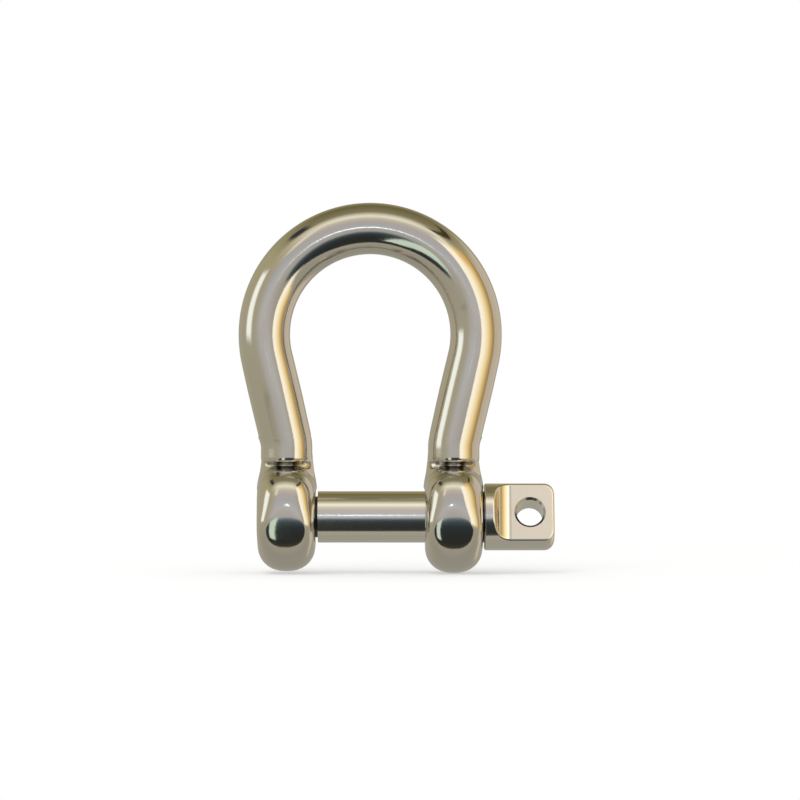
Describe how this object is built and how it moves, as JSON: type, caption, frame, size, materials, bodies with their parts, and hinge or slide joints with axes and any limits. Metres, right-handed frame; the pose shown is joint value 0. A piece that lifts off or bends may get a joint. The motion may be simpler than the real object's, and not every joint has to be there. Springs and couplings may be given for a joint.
{
  "type": "bow shackle",
  "caption": "Bow shackle: a round steel rod bent to a wide bow with an ear at each end, closed by a screw pin with an eyed tab.",
  "frame": {"origin": "on the pin's axis, midway between the two ears", "axes": "+X along the pin towards its head, +Z from the pin to the crown of the bow, +Y through the bow away from the tab's upturned face"},
  "size_m": [0.0614, 0.0218, 0.072],
  "materials": {
    "polished_bow": "forged stainless steel, tumbled and polished to a mirror",
    "turned_pin": "turned stainless steel with a milled tab, polished"
  },
  "bodies": {
    "bow": {"bow": "polished_bow"},
    "pin_slider": {"pin_pilot": "turned_pin"},
    "pin": {"screw_pin": "turned_pin"}
  },
  "joints": [
    {"name": "pin_draw", "type": "slide", "parent": "bow", "child": "pin_slider", "axis": [1, 0, 0], "range_m": [0, 0.045]},
    {"name": "pin_turn", "type": "hinge", "parent": "pin_slider", "child": "pin", "pos_m": [0, 0, 0], "axis": [1, 0, 0], "range_deg": [0, 10800]}
  ],
  "couplings": [
    {"joint": "pin_turn", "follows": "pin_draw", "rad_per_m": 4188.8}
  ]
}
